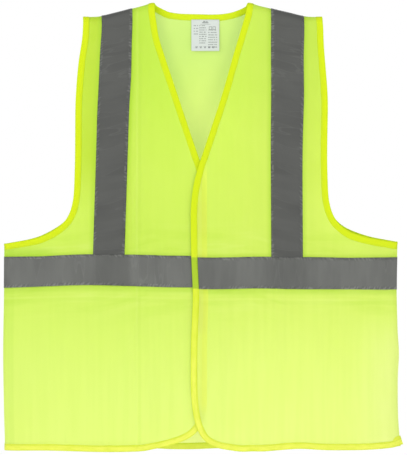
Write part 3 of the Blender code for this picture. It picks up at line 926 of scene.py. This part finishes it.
knit = knit_look()
bright = binding_look()
brace_face = tape_look("brace_tape_face", 0.080, 1.8)
waist_face = tape_look("waist_tape_face", 0.113, 1.0)
yellow_thread = thread_look("binding_thread", (0.66, 0.84, 0.06))
grey_thread = thread_look("tape_thread", (0.20, 0.21, 0.19))
overlock = thread_look("overlock_thread", (0.70, 0.88, 0.16))
hook_face = pile_look("hook_face", (0.86, 0.97, 0.22), 1.5, 0.25)
loop_face = pile_look("loop_face", (0.86, 0.98, 0.26), 2.2, 0.8)
satin = satin_look()
ink = ink_look()

# More columns where the cloth turns at the sides and bends at the folds
TURNING = (295, 298.5, 301.5, 304, 306.5, 308.5, 310, 311.2, 312, 312.6)
BENDING = [48 + 1.5 * k for k in range(44)]
EDGE_COLUMNS = [sign * x for x in (*TURNING, *BENDING) for sign in (-1, 1)]
CLOTH_CELL = (6.0, 7.0)
TAPE_CELL = (5.0, 5.0)

neck = curve(back_neck())
right_edge = curve(under_front())
left_edge = curve(top_front())
right_hem = front_hem(RIGHT_HEM_END)
left_hem = front_hem(LEFT_HEM_END, tail=TAIL)
right_side = right_edge + right_hem
left_side = mirrored(left_edge + left_hem)
left_arm = armhole()
right_arm = mirrored(left_arm)


def declare(outline):
    """Works out the area of a sheet of cloth, and keeps it nowhere."""
    area_of(outline)


def one_face(line, side, face):
    """A line moved into the cloth, as far as it lies on the front (-1) or the back (1)."""
    return [p for p in inset(line, side) if face * p[1] > 0.5]


def back_cloth():
    """The whole back."""
    outline = [(-NECK_HALF - INSET, 0.0), *one_face(neck, 1, 1), (NECK_HALF + INSET, 0.0)]
    outline += [(SHOULDER_HALF - INSET, 0.0), *one_face(left_arm, 1, 1), back(HALF_WIDTH, UNDERARM + 1)]
    count = 2 * HALF_WIDTH // LINE_STEP
    hem = [back(HALF_WIDTH - LINE_STEP * k, BACK_LENGTH - INSET) for k in range(count + 1)]
    outline += hem + [back(-HALF_WIDTH, BACK_LENGTH - INSET), back(-HALF_WIDTH, UNDERARM + 1)]
    outline += [*one_face(right_arm, -1, 1)[::-1], (INSET - SHOULDER_HALF, 0.0)]
    piece = cut_piece("back_cloth", outline, knit, CLOTH_CELL, extra=EDGE_COLUMNS)
    wear(piece, "fluorescent_knit", on_shell, "back_panel")
    declare(outline)


def front_cloth(word, edge_line, hem_line, lap, corner):
    """One whole front, drawn on the right."""
    edge = [p for p in one_face(edge_line + hem_line, -1, -1) if p[0] > INSET - HALF_WIDTH]
    arm = one_face(right_arm, -1, -1)
    outline = [(INSET - SHOULDER_HALF, 0.0), (-NECK_HALF - INSET, 0.0), *edge]
    outline += [front(-HALF_WIDTH, corner - INSET), front(-HALF_WIDTH, UNDERARM + 1), *arm]
    if word == "left":
        outline = mirrored(outline)
    piece = cut_piece(f"{word}_front_cloth", outline, knit, CLOTH_CELL, lap=lap, extra=EDGE_COLUMNS)
    nodes = [f"{word}_front_side_panel", f"{word}_front_flap_panel"]
    wear(piece, "fluorescent_knit", partial(on_front, word), *nodes)
    declare(outline)


def sew(name, line, lift, thread, hang, laps=None):
    """A row of stitches that moves as the piece under it does."""
    wear(stitches(name, line, lift, thread, laps), "overlock_thread", hang)


def sew_binding(name, line, hang, laps=None):
    """A row of stitches on each face of a binding."""
    sew(f"{name}_stitches_outer", line, STITCH_LIFT, yellow_thread, hang, laps)
    sew(f"{name}_stitches_inner", line, -STITCH_LIFT, yellow_thread, hang, laps)


def edge_bindings():
    """The binding that runs from each side seam along hem, front edge and neck."""
    right, behind, left = [evenly(line, BINDING_STEP) for line in (right_side, neck, left_side)]
    line = right[::-1] + behind[1:] + left[1:]
    laps = [1] * len(right) + [0] * (len(behind) - 2) + [-1] * len(left)
    first, second = len(right) - 1, len(right) + len(behind) - 2
    spans = {"right": (0, first), "neck": (first, second), "left": (second, len(line) - 1)}
    hangs = {"right": partial(on_front, "right"), "neck": on_shell, "left": partial(on_front, "left")}
    for word, span in spans.items():
        name = "neck_binding_tape" if word == "neck" else f"{word}_edge_binding"
        nodes = [f"{word}_front_edge_binding", f"{word}_front_hem_binding"]
        if word == "neck":
            nodes = ["neck_binding"]
        piece = binding(name, line, 1, laps, span, tab=(word == "left"))
        wear(piece, "bright_binding", hangs[word], *nodes)
    sewn = inset(line, 1, BINDING_WIDTH - SEWN_IN)
    for word, (a, b) in spans.items():
        sew_binding(f"{word}_edge", sewn[a : b + 1], hangs[word], laps[a : b + 1])


def other_bindings():
    """The armholes and the back hem."""
    step = 3.5
    hem = [back(-HALF_WIDTH + step * k, BACK_LENGTH) for k in range(int(2 * HALF_WIDTH / step) + 1)]
    hem.append(back(HALF_WIDTH, BACK_LENGTH))
    rows = [
        ("right_armhole_binding", right_arm, -1),
        ("left_armhole_binding", left_arm, 1),
        ("back_hem_binding", hem, -1),
    ]
    for name, line, side in rows:
        line = evenly(line, BINDING_STEP)
        wear(binding(name + "_tape", line, side), "bright_binding", on_shell, name)
        sew_binding(name, inset(line, side, BINDING_WIDTH - SEWN_IN), on_shell)


def brace(word, sign, spread):
    """A tape over the shoulder, from behind the front waist tape to the back one."""
    end, top = WAIST_TOP + TUCK, 30
    inner, outer = BRACE_X - TAPE_WIDTH / 2, BRACE_X + TAPE_WIDTH / 2
    outline = [front(inner + spread, end), front(inner, top), back(inner, top), back(inner, end)]
    outline += [back(outer, end), back(outer, top), front(outer, top), front(outer + spread, end)]
    outline = [(sign * x, v) for x, v in outline]

    def tape_run(x, v):
        """How far along and across the tape a flat point lies."""
        return (v, abs(x) - inner - spread * max(-v, 0) / WAIST_TOP)

    name = f"{word}_brace"
    piece = cut_piece(name, outline, brace_face, TAPE_CELL, BRACE_LIFT, 0, TAPE_THICK, (), tape_run)
    wear(piece, "reflective_tape", on_shell, f"{word}_brace_tape")
    for edge, corners, into in (("inner", outline[:4], sign), ("outer", outline[4:], -sign)):
        line = [(x + TAPE_SEWN_IN * into, v) for x, v in corners]
        sew(f"{name}_stitches_{edge}", line, BRACE_LIFT + TAPE_STITCH_LIFT, grey_thread, on_shell)


def level(side, down, start, end):
    """A line at one height across the front or the back."""
    count = round(abs(end - start) / LINE_STEP)
    return [side(start + (end - start) * k / count, down) for k in range(count + 1)]


def waist_piece(name, side, start, end, lap, nodes, hang):
    """A level tape and its two rows of stitches."""
    outline = level(side, WAIST_TOP, start, end) + level(side, WAIST_TOP + TAPE_WIDTH, end, start)

    def tape_run(x, v):
        """How far along and across the tape a flat point lies."""
        return (x, abs(hung(x, v)[1]) - WAIST_TOP)

    laid = (WAIST_LIFT, lap, TAPE_THICK, EDGE_COLUMNS, tape_run)
    piece = cut_piece(name, outline, waist_face, TAPE_CELL, *laid)
    wear(piece, "reflective_tape", hang, *nodes)
    for word, into in (("upper", TAPE_SEWN_IN), ("lower", TAPE_WIDTH - TAPE_SEWN_IN)):
        line = level(side, WAIST_TOP + into, start, end)
        lift = WAIST_LIFT + TAPE_STITCH_LIFT
        sew(f"{name}_stitches_{word}", line, lift, grey_thread, hang, [lap] * len(line))


def waist_tapes():
    """The tape round the waist, ending under each front's binding."""
    end = HALF_WIDTH - 0.6
    waist_piece("back_waist", back, -end, end, 0, ["back_waist_tape"], on_shell)
    stops = (("right", -end, UNDER_EDGE - BINDING_WIDTH, 1), ("left", end, TOP_EDGE + BINDING_WIDTH, -1))
    for word, start, stop, lap in stops:
        nodes = [f"{word}_waist_tape_side", f"{word}_waist_tape_flap"]
        waist_piece(f"{word}_waist", front, start, stop, lap, nodes, partial(on_front, word))


def allowance(name, count, point):
    """An overlocked seam. point gives the place and flat point of a share down it and a column."""
    rows = [[point(k / count, m) for m in range(SEAM_COLUMNS)] for k in range(count + 1)]
    sections = [[made for made, _ in row] for row in rows]
    flat = [flat_point for row in rows for _, flat_point in row]
    piece = strip(f"{name}_overlock", sections, overlock, flat, flat, SEAM_THICK)
    wear(piece, "overlock_thread", on_shell, f"{name}_seam")


def seams():
    """The overlocked allowances inside the sides and shoulders."""
    last = SEAM_COLUMNS - 1
    for word, sign in (("right", -1), ("left", 1)):
        side_low, side_high = node_box(f"{word}_side_seam")
        low, high = node_box(f"{word}_shoulder_seam")
        start, end = (low.x, high.x) if sign > 0 else (high.x, low.x)

        def down_side(share, m):
            z = side_high.z + (side_low.z - side_high.z) * share
            x = sign * (HALF_WIDTH - 1.4 - m * (1.2 + 0.05 * noise.noise((z / 9, sign, 0))))
            y = 0.35 * noise.noise((z / 6, m, 2)) * m / last
            return (Vector((x, y, z)) + stray(x, z)) * MM, (z, x)

        def along_shoulder(share, m):
            x = start + (end - start) * share
            y = 0.4 * noise.noise((x / 8, m, 4)) * m / last
            z = -drop(x) - 0.9 - 1.6 * m - 0.2 * noise.noise((x / 5, m, 1))
            return Vector((x, y, z)) * MM, (x, z)

        allowance(f"{word}_side", 120, down_side)
        allowance(f"{word}_shoulder", 40, along_shoulder)


def rounded(low, high, radius, count=5):
    """A flat rectangle with rounded corners, as (x, down) pairs."""
    made = []
    for quarter in range(4):
        cx = high[0] - radius if quarter in (0, 3) else low[0] + radius
        cd = high[1] - radius if quarter in (0, 1) else low[1] + radius
        for k in range(count + 1):
            turn = math.pi / 2 * (quarter + k / count)
            made.append((cx + radius * math.cos(turn), cd + radius * math.sin(turn)))
    return made


def closures():
    """Hook patches inside the left front and loop patches on the right one, each sewn round."""
    sewn_in, stitch_lift = 1.4, 0.3
    kinds = [("loop", "right_front", 1, loop_face), ("hook", "left_front", -1, hook_face)]
    for word in ("upper", "lower"):
        for kind, body, side, face in kinds:
            low, high = node_box(f"{word}_{kind}_patch")
            left, right, top, bottom = low.x, high.x, -high.z, -low.z
            name, lift = f"{word}_{kind}", side * PATCH_LIFT
            outline = [front(x, down) for x, down in rounded((left, top), (right, bottom), 1.6)]
            piece = cut_piece(name, outline, face, PATCH_CELL, lift, side, PATCH_THICK)
            wear(piece, "hook_and_loop", ride(body), f"{name}_patch")
            inner = rounded((left + sewn_in, top + sewn_in), (right - sewn_in, bottom - sewn_in), 1.0)
            line = [front(x, down) for x, down in inner + inner[:1]]
            lift += side * stitch_lift
            sew(f"{name}_stitches", line, lift, yellow_thread, ride(body), [side] * len(line))


LABEL_LOW, LABEL_HIGH = node_box("care_label")
LABEL_WIDTH, LABEL_HEIGHT = LABEL_HIGH.x - LABEL_LOW.x, LABEL_HIGH.z - LABEL_LOW.z


def on_label(across, down, lift=0.0):
    """A point of the label, which curls a little towards its lower corners."""
    curl = 1.3 * down**2 + 0.8 * (2 * across - 1) ** 2 * down
    curl += 0.35 * math.sin(7 * across + 4 * down) * down
    y = (LABEL_LOW.y + LABEL_HIGH.y) / 2 - curl - lift
    return Vector((LABEL_LOW.x + LABEL_WIDTH * across, y, LABEL_HIGH.z - LABEL_HEIGHT * down)) * MM


def label_satin():
    """A satin care label sewn under the back neck."""
    columns, rows = 30, 34
    shares = [[(k / columns, row / rows) for k in range(columns + 1)] for row in range(rows + 1)]
    sections = [[on_label(across, down) for across, down in row] for row in shares]
    flat = [(LABEL_WIDTH * across, LABEL_HEIGHT * down) for row in shares for across, down in row]
    piece = strip("care_label_satin", sections, satin, flat, flat, 0.16)
    wear(piece, "label_satin", ride("label"), "care_label")


def plain_marks():
    """Dashes and bars that say nothing, as shares of the label: left, right, top and bottom."""
    marks = []
    for start, stop, rows in ((0.08, 0.24, 4), (0.28, 0.54, 9), (0.60, 0.92, 8)):
        for row in range(rows):
            top = 0.18 + row * 0.62 / max(rows, 7) + (0.14 if start > 0.5 else 0.0)
            left = start + 0.02 * abs(noise.noise((start * 9, row * 2.3, 5)))
            while left < stop - 0.02:
                share = noise.noise((left * 21.3, row * 3.7, start * 5))
                right = min(left + 0.03 + 0.07 * abs(share), stop)
                marks.append((left, right, top, top + 0.026))
                left = right + 0.012 + 0.03 * (share < -0.1)
    marks += [(0.42, 0.50, 0.045, 0.075), (0.39, 0.61, 0.085, 0.115)]
    marks += [(0.52, 0.58, 0.050, 0.075), (0.32, 0.68, 0.145, 0.155)]
    for left in (0.63, 0.76):  # two square frames
        marks += [(left, left + 0.105, 0.22, 0.235), (left, left + 0.105, 0.31, 0.325)]
        marks += [(left, left + 0.018, 0.235, 0.31), (left + 0.087, left + 0.105, 0.235, 0.31)]
    for left in (0.14, 0.29, 0.44, 0.59, 0.74):
        marks += [(left, left + 0.09, 0.85, 0.865), (left + 0.01, left + 0.08, 0.88, 0.91)]
    return marks


def label_print():
    """The marks, lying just off the satin."""
    points, faces, flat = [], [], []
    for left, right, top, bottom in plain_marks():
        first = len(points)
        steps = max(2, round((right - left) * 30))
        for k in range(steps + 1):
            across = left + (right - left) * k / steps
            points += [on_label(across, down, 0.13) for down in (top, bottom)]
            flat += [(across * LABEL_WIDTH, down * LABEL_HEIGHT) for down in (top, bottom)]
        for a in range(first, first + 2 * steps, 2):
            faces.append((a, a + 2, a + 3, a + 1))
    wear(build("care_label_marks", points, faces, ink, flat), "label_satin", ride("label"))


def label_stitches():
    """Thread along the label's upper edge, one stitch in every 7 % of its width."""
    up, backwards = Vector((0, 0, 1)), Vector((0, 1, 0))
    points, faces, flat = [], [], []
    for start in range(0, 97, 7):
        rings = []
        for m, raised in enumerate((-0.1, 0.1, 0.1, 0.1, -0.1)):
            centre = on_label((start + m) / 100, 0.035, 0.2) - backwards * raised * MM
            rings.append(ring_of(centre, backwards, up, 0.16))
            flat += [(start + m, side) for side in range(THREAD_SIDES)]
        add_tube(points, faces, rings, caps=False)
    wear(build("care_label_stitches", points, faces, satin, flat), "overlock_thread", ride("label"))


back_cloth()
front_cloth("right", right_edge, right_hem, 1, RIGHT_HEM_END)
front_cloth("left", left_edge, front_hem(LEFT_HEM_END), -1, LEFT_HEM_END)
edge_bindings()
other_bindings()
brace("right", -1, RIGHT_BRACE_SPREAD)
brace("left", 1, LEFT_BRACE_SPREAD)
waist_tapes()
seams()
closures()
label_satin()
label_print()
label_stitches()


# ---- studio


def floor():
    """A plain round floor, well below the hem."""
    bm = bmesh.new()
    bmesh.ops.create_circle(bm, cap_ends=True, segments=96, radius=1.5)
    mesh = bpy.data.meshes.new("studio_floor")
    bm.to_mesh(mesh)
    bm.free()
    mesh.materials.append(floor_look())
    made = shown("studio_floor", mesh)
    made.location = (0, 0, -1.05)


def soft_light(name, at, size, power):
    """A round area light that faces the middle of the garment."""
    light = bpy.data.lights.new(name, "AREA")
    light.shape = "DISK"
    light.size = size
    light.energy = power
    made = shown(name, light)
    made.location = at
    target = Vector((0, 0, -0.4))
    made.rotation_euler = (target - made.location).to_track_quat("-Z", "Y").to_euler()


def studio():
    """A white surround, dimmer straight above and below, and three soft lights."""
    world = bpy.data.worlds.new("studio")
    bpy.context.scene.world = world
    world.use_nodes = True
    sky = Nodes(world.node_tree)
    background = sky.tree.nodes["Background"]
    around = sky.add("ShaderNodeTexCoord", {}).outputs["Generated"]
    height = sky.add("ShaderNodeSeparateXYZ", {0: around}).outputs[2]
    sky.fill(background.inputs["Strength"], sky.ramp(sky.size_of(height), 0.45, 0.95, 1.0, 0.55))
    sky.fill(background.inputs["Color"], (1, 1, 1))
    soft_light("key", (-1.6, -2.2, 1.0), 1.6, 20)
    soft_light("low_fill", (1.2, -2.2, -1.3), 1.6, 19)
    soft_light("rear", (0.8, 2.4, 0.9), 1.8, 21)


def camera():
    """Straight from the front and far away, its frame just wider than the garment."""
    data = bpy.data.cameras.new("camera")
    frame_height = 722.1 * MM
    distance = 10.0
    data.sensor_width = 36.0
    data.lens = data.sensor_width * distance / frame_height
    data.clip_end = 50
    made = shown("camera", data)
    across, depth, height = 0.00397, -0.022, -0.35597  # the point that it looks at
    made.location = (across, depth - distance, height)
    made.rotation_euler = (math.pi / 2, 0, 0)
    bpy.context.scene.camera = made


floor()
studio()
camera()
bpy.context.scene.view_settings.view_transform = "Standard"
